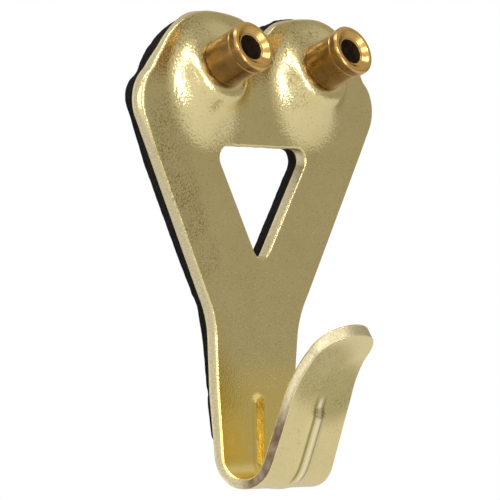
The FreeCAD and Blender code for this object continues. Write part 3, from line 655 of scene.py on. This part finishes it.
# ---------------------------------------------------------------- pad
def build_pad(materials):
    half = [
        arc_to((0, 42.25), (0.97, 42.606), 1.5, True),
        arc_to((1.95, 43.25), (5.6, 44.24), 8.6, False),
        arc_to((5.6, 44.24), (12.86, 40.49), 10.75, False),
        arc_to((13.84, 38.98), (14.86, 37.66), 1.6, True),
        arc_to((14.86, 37.66), (15.05, 34.5), 2.4, False),
        np.array([(15.05, 34.5), (12.97, 29.75), (8.78, 21.9), (6.9, 18.55), (5.73, 16.3), (5.15, 14.1),
                  (4.63, 10.7), (4.18, 7.3)]),
        arc_to((3.72, 4.6), (0, 2.9), 4.92, False),
    ]
    half = np.vstack(half)
    loop = relax(resample(np.vstack([half, (half * [-1, 1])[::-1]]), 0.16, True), 6)
    if area_2d(loop) < 0:
        loop = loop[::-1].copy()
    win = relax(resample(window_loop(), 0.14, True), 4)
    if area_2d(win) < 0:
        win = win[::-1].copy()
    m = Sheet()
    rows = (-1.25, -1.32, -1.5, -1.75, -2.0, -2.2, -2.32, -2.37)
    inset = (0.06, 0.02, 0.0, 0.0, 0.0, 0.0, 0.005, 0.04)
    loops, rings = [loop, win], []

    def under(p):
        """How far the plate's lifted rim lets the pad come forward at (x, h)."""
        q = np.stack([p[:, 0], TOP - p[:, 1]], 1)
        return np.maximum(lift(q[:, 0], q[:, 1]) * np.exp(-(distance(q, [OUTLINE]) / LIFT_R) ** 2) - 0.02, 0)

    fronts = []
    for l, sign in zip(loops, (1, -1)):
        nrm = normals_2d(l) * sign
        rs = []
        s = ring_uv(l, 0)[:, 0]
        raised = under(l + nrm * 0.06)
        for k, (f, d) in enumerate(zip(rows, inset)):
            rag = value_noise(s / 0.8, f * 2.2, 1.0, 11) * 0.035 + value_noise(s / 0.3, f * 5, 2.0, 12) * 0.03
            nick = smooth((value_noise(s / 1.7, f * 0.7, 3.0, 13) - 0.72) / 0.2) * 0.11
            p = l + nrm * (d + rag + nick)[:, None]
            rs.append((p, m.points(to_m(p[:, 0], f + raised * (f + 2.37) / 1.12, p[:, 1]))))
        for a, b in zip(rs, rs[1:]):
            if sign > 0:
                m.strip(b[1], a[1])
            else:
                m.strip(a[1], b[1])
        rings.append(rs)
        last = rs[0]
        for d in ((0.18, 0.32) if sign > 0 else ()):
            p = l + nrm * d
            ring = (p, m.points(to_m(p[:, 0], -1.25 + under(p), p[:, 1])))
            m.strip(last[1], ring[1])
            last = ring
        fronts.append(last)
    holes = []
    for f in (rows[0], rows[-1]):
        row = []
        for cx, cf, ch in DOMES:
            a = np.linspace(0, 2 * math.pi, 32, endpoint=False)
            row.append(np.stack([cx + 0.82 * np.cos(a), ch + (f - cf) * UH / UF + 0.82 / UF * np.sin(a)], 1))
        holes.append(row)
    idx = []
    for side, f in ((0, rows[0]), (1, rows[-1])):
        ends = fronts if side == 0 else [r[-1] for r in rings]
        inner = [r[0] for r in ends] + holes[side]
        start = [r[1] for r in ends]
        hr = [m.points(to_m(h[:, 0], np.full(len(h), f), h[:, 1])) for h in holes[side]]
        start += hr
        idx.append(hr)
        rim = lambda x, y: (y > 35) & (np.abs(np.hypot(np.abs(x) - 6.65, y - 37.45) - 6.0) < 1.2)
        pts, _ = interior(inner, {0.27: rim, 0.55: lambda x, y: ~rim(x, y)}, 0.12)
        body = m.points(to_m(pts[:, 0], f + under(pts) if side == 0 else np.full(len(pts), f), pts[:, 1]))
        tri = np.concatenate(start + [body])[fill(inner, pts)]
        m.tris(tri if side == 0 else tri[:, ::-1])
    for a, b in zip(*idx):
        m.strip(a, b)
    return m.build("backing_pad_foam", materials, 50)


# ---------------------------------------------------------------- materials
def new_material(name):
    m = bpy.data.materials.new(name)
    m.use_nodes = True
    return m, m.node_tree, m.node_tree.nodes["Principled BSDF"]


def node(nt, kind, **inputs):
    n = nt.nodes.new(kind)
    for k, v in inputs.items():
        if k.startswith("_"):
            setattr(n, k[1:], v)
        else:
            n.inputs[k.replace("_", " ")].default_value = v
    return n


def noise(nt, where, scale, detail=3.0, rough=0.55, distort=0.0):
    n = node(nt, "ShaderNodeTexNoise", Scale=scale, Detail=detail, Roughness=rough, Distortion=distort)
    nt.links.new(where, n.inputs["Vector"])
    return n.outputs["Fac"]


def ramp(nt, fac, stops):
    n = nt.nodes.new("ShaderNodeValToRGB")
    e = n.color_ramp.elements
    while len(e) < len(stops):
        e.new(0.5)
    for q, (p, c) in zip(e, stops):
        q.position = p
        q.color = (*c, 1) if len(c) == 3 else c
    nt.links.new(fac, n.inputs["Fac"])
    return n.outputs["Color"]


def grey(v):
    return (v, v, v)


def bump(nt, height, strength, dist, normal=None):
    n = node(nt, "ShaderNodeBump", Strength=strength, Distance=dist)
    nt.links.new(height, n.inputs["Height"])
    if normal is not None:
        nt.links.new(normal, n.inputs["Normal"])
    return n.outputs["Normal"]


def span(nt, value, lo, hi, power=1.0):
    """0 at lo, power at hi, smooth between."""
    n = node(nt, "ShaderNodeMapRange", _interpolation_type="SMOOTHSTEP")
    for key, v in (("From Min", lo), ("From Max", hi), ("To Min", 0.0), ("To Max", power)):
        n.inputs[key].default_value = v
    nt.links.new(value, n.inputs["Value"])
    return n.outputs["Result"]


def mul(nt, a, b):
    n = node(nt, "ShaderNodeMath", _operation="MULTIPLY")
    for k, v in enumerate((a, b)):
        if isinstance(v, (int, float)):
            n.inputs[k].default_value = v
        else:
            nt.links.new(v, n.inputs[k])
    return n.outputs["Value"]


def blend(nt, fac, a, color):
    """Colour a turned into a fixed colour by fac."""
    n = node(nt, "ShaderNodeMix", _data_type="RGBA")
    nt.links.new(fac, n.inputs["Factor"])
    nt.links.new(a, n.inputs[6])
    n.inputs[7].default_value = (*color, 1)
    return n.outputs[2]


def facing(nt, direction):
    """How far the surface's own normal points along a fixed direction."""
    g = nt.nodes.new("ShaderNodeNewGeometry")
    n = node(nt, "ShaderNodeVectorMath", _operation="DOT_PRODUCT")
    nt.links.new(g.outputs["Normal"], n.inputs[0])
    n.inputs[1].default_value = Vector(direction).normalized()
    return n.outputs["Value"]


def near(nt, co, spots):
    """1 close to any of the spots (x, y, z, radius in millimetres, power), 0 away from them."""
    out = None
    for x, y, z, radius, power in spots:
        d = node(nt, "ShaderNodeVectorMath", _operation="DISTANCE")
        nt.links.new(co, d.inputs[0])
        d.inputs[1].default_value = (x * 1e-3, y * 1e-3, z * 1e-3)
        v = span(nt, d.outputs["Value"], radius * 1e-3, radius * 0.45e-3, power)
        if out is not None:
            m = node(nt, "ShaderNodeMath", _operation="MAXIMUM")
            nt.links.new(out, m.inputs[0])
            nt.links.new(v, m.inputs[1])
            v = m.outputs["Value"]
        out = v
    return out


# where the plating is pitted: down the left arm, round the feet of the domes, high on the leg
PITTED = ((-12.3, -2.4, -3.6, 3.2, 0.9), (-11.7, -2.4, -7.0, 3.2, 1.0), (-10.5, -2.4, -10.2, 3.2, 1.0),
          (-9.1, -2.4, -13.2, 3.0, 0.9), (-7.6, -2.4, -16.2, 3.0, 0.7), (-9.8, -2.7, 4.2, 3.0, 0.9),
          (2.0, -2.4, 3.8, 2.8, 0.9), (5.4, -2.6, 5.3, 2.8, 0.9), (3.0, -3.3, -0.6, 2.6, 0.8),
          (-4.8, -2.5, -5.0, 3.0, 0.6), (-0.8, -11.4, -27.4, 3.8, 1.0), (2.4, -11.0, -28.4, 3.0, 1.0),
          (-2.6, -12.6, -25.4, 2.8, 1.0))
# duller plating across the middle of the leg
DULL = ((-1.6, -12.0, -26.4, 4.6, 0.55), (1.8, -11.0, -28.6, 4.2, 0.65))


def material_plate():
    m, nt, b = new_material("plated_sheet")
    co = nt.nodes.new("ShaderNodeTexCoord").outputs["Object"]
    b.inputs["Metallic"].default_value = 1.0
    col = ramp(nt, noise(nt, co, 260, 4, 0.6), [(0.3, (0.83, 0.715, 0.385)), (0.7, (0.88, 0.765, 0.43))])
    # painted reflection: inside the bend the plating is tinted deep gold, standing in for the leg's inner face
    # reflected there
    at = node(nt, "ShaderNodeSeparateXYZ")
    nt.links.new(co, at.inputs["Vector"])
    low = span(nt, at.outputs["Z"], -0.0245, -0.0295)
    deep = span(nt, at.outputs["Y"], -0.0052, -0.0042)
    bend_painted_reflection = mul(nt, low, deep)
    # painted highlight and shade on the leg's rib: its crest is coloured bright and its feet dark, on top of its relief
    across = node(nt, "ShaderNodeMath", _operation="ABSOLUTE")
    nt.links.new(at.outputs["X"], across.inputs[0])
    rib = mul(nt, span(nt, at.outputs["Y"], -0.0062, -0.0072),
              mul(nt, span(nt, at.outputs["Z"], -0.0288, -0.0298), span(nt, at.outputs["Z"], -0.0374, -0.0366)))
    crest = mul(nt, rib, span(nt, across.outputs["Value"], 0.00030, 0.00012, 0.9))
    rib_foot_painted_shade = mul(nt, rib, mul(nt, span(nt, across.outputs["Value"], 0.00036, 0.00050),
                            span(nt, across.outputs["Value"], 0.00078, 0.00060, 0.8)))
    pitted = near(nt, co, PITTED)
    flecks = span(nt, noise(nt, co, 4600, 3, 0.7), 0.47, 0.60, 0.85)
    patchy = ramp(nt, noise(nt, co, 420, 3, 0.6), [(0.38, grey(0.35)), (0.60, grey(1.0))])
    col = blend(nt, mul(nt, mul(nt, pitted, patchy), flecks), col, (0.33, 0.285, 0.12))
    thin = span(nt, noise(nt, co, 5200, 2, 0.6), 0.56, 0.70, 0.45)
    col = blend(nt, thin, col, (0.52, 0.45, 0.22))
    col = blend(nt, near(nt, co, DULL), col, (0.40, 0.34, 0.14))
    # painted shade along the rib's feet, then a painted highlight along its crest
    col = blend(nt, rib_foot_painted_shade, col, (0.30, 0.24, 0.09))
    col = blend(nt, crest, col, (1.0, 0.93, 0.66))
    nt.links.new(blend(nt, bend_painted_reflection, col, (1.0, 0.81, 0.31)), b.inputs["Base Color"])
    r = ramp(nt, noise(nt, co, 900, 4, 0.6), [(0.3, grey(0.13)), (0.7, grey(0.21))])
    nt.links.new(r, b.inputs["Roughness"])
    fine = noise(nt, co, 4200, 2, 0.6)
    wide = noise(nt, co, 700, 2, 0.5)
    n1 = bump(nt, wide, 0.12, 0.00012)
    n2 = bump(nt, fine, 0.65, 0.00006, n1)
    nt.links.new(n2, b.inputs["Normal"])
    return m


def material_edge():
    m, nt, b = new_material("sheared_edge")
    tc = nt.nodes.new("ShaderNodeTexCoord")
    b.inputs["Metallic"].default_value = 1.0
    mp = node(nt, "ShaderNodeMapping")
    mp.inputs["Scale"].default_value = (420, 2.2, 1)
    nt.links.new(tc.outputs["UV"], mp.inputs["Vector"])
    streak = noise(nt, mp.outputs["Vector"], 1.0, 3, 0.6)
    col = ramp(nt, streak, [(0.3, (0.56, 0.49, 0.31)), (0.7, (0.82, 0.74, 0.52))])
    # the leg's sheared edges are darker brown in blotches
    at = node(nt, "ShaderNodeSeparateXYZ")
    nt.links.new(tc.outputs["Object"], at.inputs["Vector"])
    ahead = span(nt, at.outputs["Y"], -0.0040, -0.0062)
    low = span(nt, at.outputs["Z"], -0.0285, -0.0325)
    blot = ramp(nt, noise(nt, tc.outputs["Object"], 900, 4, 0.65), [(0.35, grey(0.65)), (0.65, grey(1.0))])
    dark_leg_edge = mul(nt, mul(nt, ahead, low), blot)
    tint = ramp(nt, noise(nt, tc.outputs["Object"], 600, 2), [(0.35, (0.20, 0.13, 0.055)), (0.65, (0.15, 0.095, 0.085))])
    dark = node(nt, "ShaderNodeMix", _data_type="RGBA")
    nt.links.new(dark_leg_edge, dark.inputs["Factor"])
    nt.links.new(col, dark.inputs[6])
    nt.links.new(tint, dark.inputs[7])
    nt.links.new(dark.outputs[2], b.inputs["Base Color"])
    r = ramp(nt, streak, [(0.3, grey(0.5)), (0.7, grey(0.32))])
    nt.links.new(r, b.inputs["Roughness"])
    n1 = bump(nt, streak, 0.5, 0.00006)
    nt.links.new(bump(nt, noise(nt, tc.outputs["Object"], 4500, 3), 0.4, 0.00004, n1), b.inputs["Normal"])
    return m


def material_head():
    m, nt, b = new_material("turned_brass")
    tc = nt.nodes.new("ShaderNodeTexCoord")
    b.inputs["Metallic"].default_value = 1.0
    col = ramp(nt, noise(nt, tc.outputs["Object"], 500, 4, 0.6), [(0.3, (0.68, 0.42, 0.13)), (0.7, (0.80, 0.53, 0.20))])
    # painted shade: the heads' faces turned down and to the left are darkened to brown
    head_painted_shade = span(nt, facing(nt, (-0.80, 0.10, -0.45)), 0.15, 0.62, 0.95)
    rag = ramp(nt, noise(nt, tc.outputs["Object"], 700, 3, 0.6), [(0.3, grey(0.8)), (0.7, grey(1.0))])
    nt.links.new(blend(nt, mul(nt, head_painted_shade, rag), col, (0.13, 0.065, 0.018)), b.inputs["Base Color"])
    r = ramp(nt, noise(nt, tc.outputs["Object"], 1500, 3), [(0.3, grey(0.16)), (0.7, grey(0.26))])
    nt.links.new(r, b.inputs["Roughness"])
    mp = node(nt, "ShaderNodeMapping")
    mp.inputs["Scale"].default_value = (3, 260, 1)
    nt.links.new(tc.outputs["UV"], mp.inputs["Vector"])
    rings = noise(nt, mp.outputs["Vector"], 1.0, 2, 0.5)
    n1 = bump(nt, rings, 0.25, 0.00004)
    nt.links.new(bump(nt, noise(nt, tc.outputs["Object"], 4200, 2), 0.25, 0.00003, n1), b.inputs["Normal"])
    return m


def material_bore():
    m, nt, b = new_material("bore_painted_shade")
    co = nt.nodes.new("ShaderNodeTexCoord").outputs["Object"]
    b.inputs["Metallic"].default_value = 0.6
    # painted shade: the bore's inside is coloured near black for the shade down in the hole
    col = ramp(nt, noise(nt, co, 1800, 3), [(0.3, (0.030, 0.018, 0.010)), (0.7, (0.085, 0.050, 0.022))])
    nt.links.new(col, b.inputs["Base Color"])
    b.inputs["Roughness"].default_value = 0.55
    nt.links.new(bump(nt, noise(nt, co, 3000, 3), 0.4, 0.00004), b.inputs["Normal"])
    return m


def material_steel():
    m, nt, b = new_material("hardened_steel")
    tc = nt.nodes.new("ShaderNodeTexCoord")
    b.inputs["Metallic"].default_value = 1.0
    col = ramp(nt, noise(nt, tc.outputs["Object"], 700, 3), [(0.3, (0.30, 0.29, 0.28)), (0.7, (0.46, 0.45, 0.43))])
    nt.links.new(col, b.inputs["Base Color"])
    r = ramp(nt, noise(nt, tc.outputs["Object"], 2000, 3), [(0.3, grey(0.28)), (0.7, grey(0.42))])
    nt.links.new(r, b.inputs["Roughness"])
    mp = node(nt, "ShaderNodeMapping")
    mp.inputs["Scale"].default_value = (60, 3, 1)
    nt.links.new(tc.outputs["UV"], mp.inputs["Vector"])
    nt.links.new(bump(nt, noise(nt, mp.outputs["Vector"], 1.0, 2), 0.2, 0.00004), b.inputs["Normal"])
    return m


def material_pad():
    m, nt, b = new_material("black_foam")
    co = nt.nodes.new("ShaderNodeTexCoord").outputs["Object"]
    col = ramp(nt, noise(nt, co, 3000, 3), [(0.35, (0.003, 0.003, 0.003)), (0.75, (0.013, 0.012, 0.012))])
    nt.links.new(col, b.inputs["Base Color"])
    b.inputs["Roughness"].default_value = 0.85
    b.inputs["Specular IOR Level"].default_value = 0.12
    nt.links.new(bump(nt, noise(nt, co, 3600, 4, 0.65), 0.7, 0.00009), b.inputs["Normal"])
    return m


# ---------------------------------------------------------------- the object
M_PLATE, M_EDGE, M_HEAD, M_BORE, M_STEEL, M_PAD = (
    material_plate(), material_edge(), material_head(), material_bore(), material_steel(), material_pad())

plate = build_plate([M_PLATE, M_EDGE])
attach(plate, "root")
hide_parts("hook_plate")

pad = build_pad([M_PAD])
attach(pad, "root")
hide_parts("backing_pad")

for side, centre in zip(("left", "right"), DOMES):
    head = build_head(side + "_nail_head_turned", centre, [M_HEAD, M_BORE])
    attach(head, "root")
    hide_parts(side + "_nail_head")
    nail = build_nail(side + "_nail_shank", centre, [M_STEEL])
    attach(nail, "root")
    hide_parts(side + "_nail")

# ---------------------------------------------------------------- camera
scene = bpy.context.scene
AZ, EL, ROLL, DIST = math.radians(-46.0), math.radians(-0.625), math.radians(0.74), 0.360
target = Vector((-0.001235, -0.00237, -0.01555))
backv = Vector((math.sin(AZ) * math.cos(EL), -math.cos(AZ) * math.cos(EL), math.sin(EL)))
right = Vector((math.cos(AZ), math.sin(AZ), 0.0))
up = backv.cross(right)
xr = right * math.cos(ROLL) + up * math.sin(ROLL)
yr = up * math.cos(ROLL) - right * math.sin(ROLL)
cam_data = bpy.data.cameras.new("camera")
cam_data.sensor_width = 36.0
cam_data.lens = 36.0 * 3852.0 / 500.0
cam_data.clip_start, cam_data.clip_end = 0.01, 20.0
cam = bpy.data.objects.new("camera", cam_data)
scene.collection.objects.link(cam)
cam.matrix_world = Matrix((
    (xr.x, yr.x, backv.x, 0), (xr.y, yr.y, backv.y, 0), (xr.z, yr.z, backv.z, 0), (0, 0, 0, 1)))
cam.matrix_world.translation = target + backv * DIST
scene.camera = cam

# ---------------------------------------------------------------- floor and light
def floor():
    me = bpy.data.meshes.new("floor")
    n = 96
    v = [(0, 0, 0)] + [(0.5 * math.cos(2 * math.pi * i / n), 0.5 * math.sin(2 * math.pi * i / n), 0) for i in range(n)]
    me.from_pydata([(x, y, -0.12) for x, y, z in v], [], [(0, 1 + i, 1 + (i + 1) % n) for i in range(n)])
    o = bpy.data.objects.new("floor", me)
    scene.collection.objects.link(o)
    m, nt, b = new_material("pale_floor")
    co = nt.nodes.new("ShaderNodeTexCoord").outputs["Object"]
    c = ramp(nt, noise(nt, co, 8, 2), [(0.3, grey(0.74)), (0.7, grey(0.78))])
    nt.links.new(c, b.inputs["Base Color"])
    b.inputs["Roughness"].default_value = 0.9
    me.materials.append(m)
    return o


floor()


def soft_light(name, az, el, dist, size, size_y, power, color=(1, 1, 1)):
    """A soft box that faces the object from azimuth az (0 is straight in front, negative on the left) and elevation el."""
    a, e = math.radians(az), math.radians(el)
    d = Vector((math.sin(a) * math.cos(e), -math.cos(a) * math.cos(e), math.sin(e)))
    l = bpy.data.lights.new(name, "AREA")
    l.shape = "RECTANGLE"
    l.size, l.size_y = size, size_y
    l.energy = power
    l.color = color
    o = bpy.data.objects.new(name, l)
    scene.collection.objects.link(o)
    o.location = Vector((0, -0.002, -0.015)) + d * dist
    o.rotation_mode = "QUATERNION"
    o.rotation_quaternion = d.to_track_quat("Z", "Y")
    return o


soft_light("key_left", -92, -4, 0.9, 1.05, 1.5, 7.2)
soft_light("strip_front", -14, -2, 0.9, 0.12, 0.5, 1.5)
soft_light("spot_high", -27, 33, 0.9, 0.16, 0.16, 0.9)
soft_light("top_left", -125, 62, 1.1, 0.5, 0.5, 2.4)
soft_light("top_front", -10, 72, 1.1, 0.3, 0.3, 1.2)

# The room round the object: a dim warm surround with broad soft light patches
# (azimuth, elevation, full inside, gone outside, strength, colour).
PATCHES = (
    (-42, 2, 22, 62, 0.40, (1.0, 0.98, 0.92)),
    (-5, 20, 10, 45, 0.16, (1.0, 0.97, 0.88)),
    (-170, 5, 40, 85, 0.20, (1.0, 0.97, 0.90)),
    (85, 45, 10, 40, 0.16, (1.0, 0.98, 0.92)),
    (-60, 60, 15, 45, 0.30, (1.0, 0.99, 0.95)),
)

world = bpy.data.worlds.new("studio")
scene.world = world
world.use_nodes = True
wt = world.node_tree
bg = wt.nodes["Background"]
way = wt.nodes.new("ShaderNodeTexCoord").outputs["Generated"]
total = None
for az, el, full, gone, power, color in PATCHES:
    a, e = math.radians(az), math.radians(el)
    dot = node(wt, "ShaderNodeVectorMath", _operation="DOT_PRODUCT")
    dot.inputs[1].default_value = (math.sin(a) * math.cos(e), -math.cos(a) * math.cos(e), math.sin(e))
    wt.links.new(way, dot.inputs[0])
    part = node(wt, "ShaderNodeMapRange", _interpolation_type="SMOOTHSTEP")
    for key, v in (("From Min", math.cos(math.radians(gone))), ("From Max", math.cos(math.radians(full))),
                   ("To Min", 0.0), ("To Max", power)):
        part.inputs[key].default_value = v
    wt.links.new(dot.outputs["Value"], part.inputs["Value"])
    tint = node(wt, "ShaderNodeVectorMath", _operation="SCALE")
    tint.inputs[0].default_value = color
    wt.links.new(part.outputs["Result"], tint.inputs["Scale"])
    add = node(wt, "ShaderNodeVectorMath", _operation="ADD")
    if total is None:
        add.inputs[1].default_value = (0.385, 0.36, 0.29)
    else:
        wt.links.new(total, add.inputs[1])
    wt.links.new(tint.outputs["Vector"], add.inputs[0])
    total = add.outputs["Vector"]
wt.links.new(total, bg.inputs["Color"])
bg.inputs["Strength"].default_value = 1.0
white = wt.nodes.new("ShaderNodeBackground")
white.inputs["Color"].default_value = (1, 1, 1, 1)
white.inputs["Strength"].default_value = 1.0
lp = wt.nodes.new("ShaderNodeLightPath")
mix = wt.nodes.new("ShaderNodeMixShader")
wt.links.new(lp.outputs["Is Camera Ray"], mix.inputs["Fac"])
wt.links.new(bg.outputs["Background"], mix.inputs[1])
wt.links.new(white.outputs["Background"], mix.inputs[2])
wt.links.new(mix.outputs["Shader"], wt.nodes["World Output"].inputs["Surface"])
scene.view_settings.view_transform = "Standard"
scene.view_settings.look = "None"
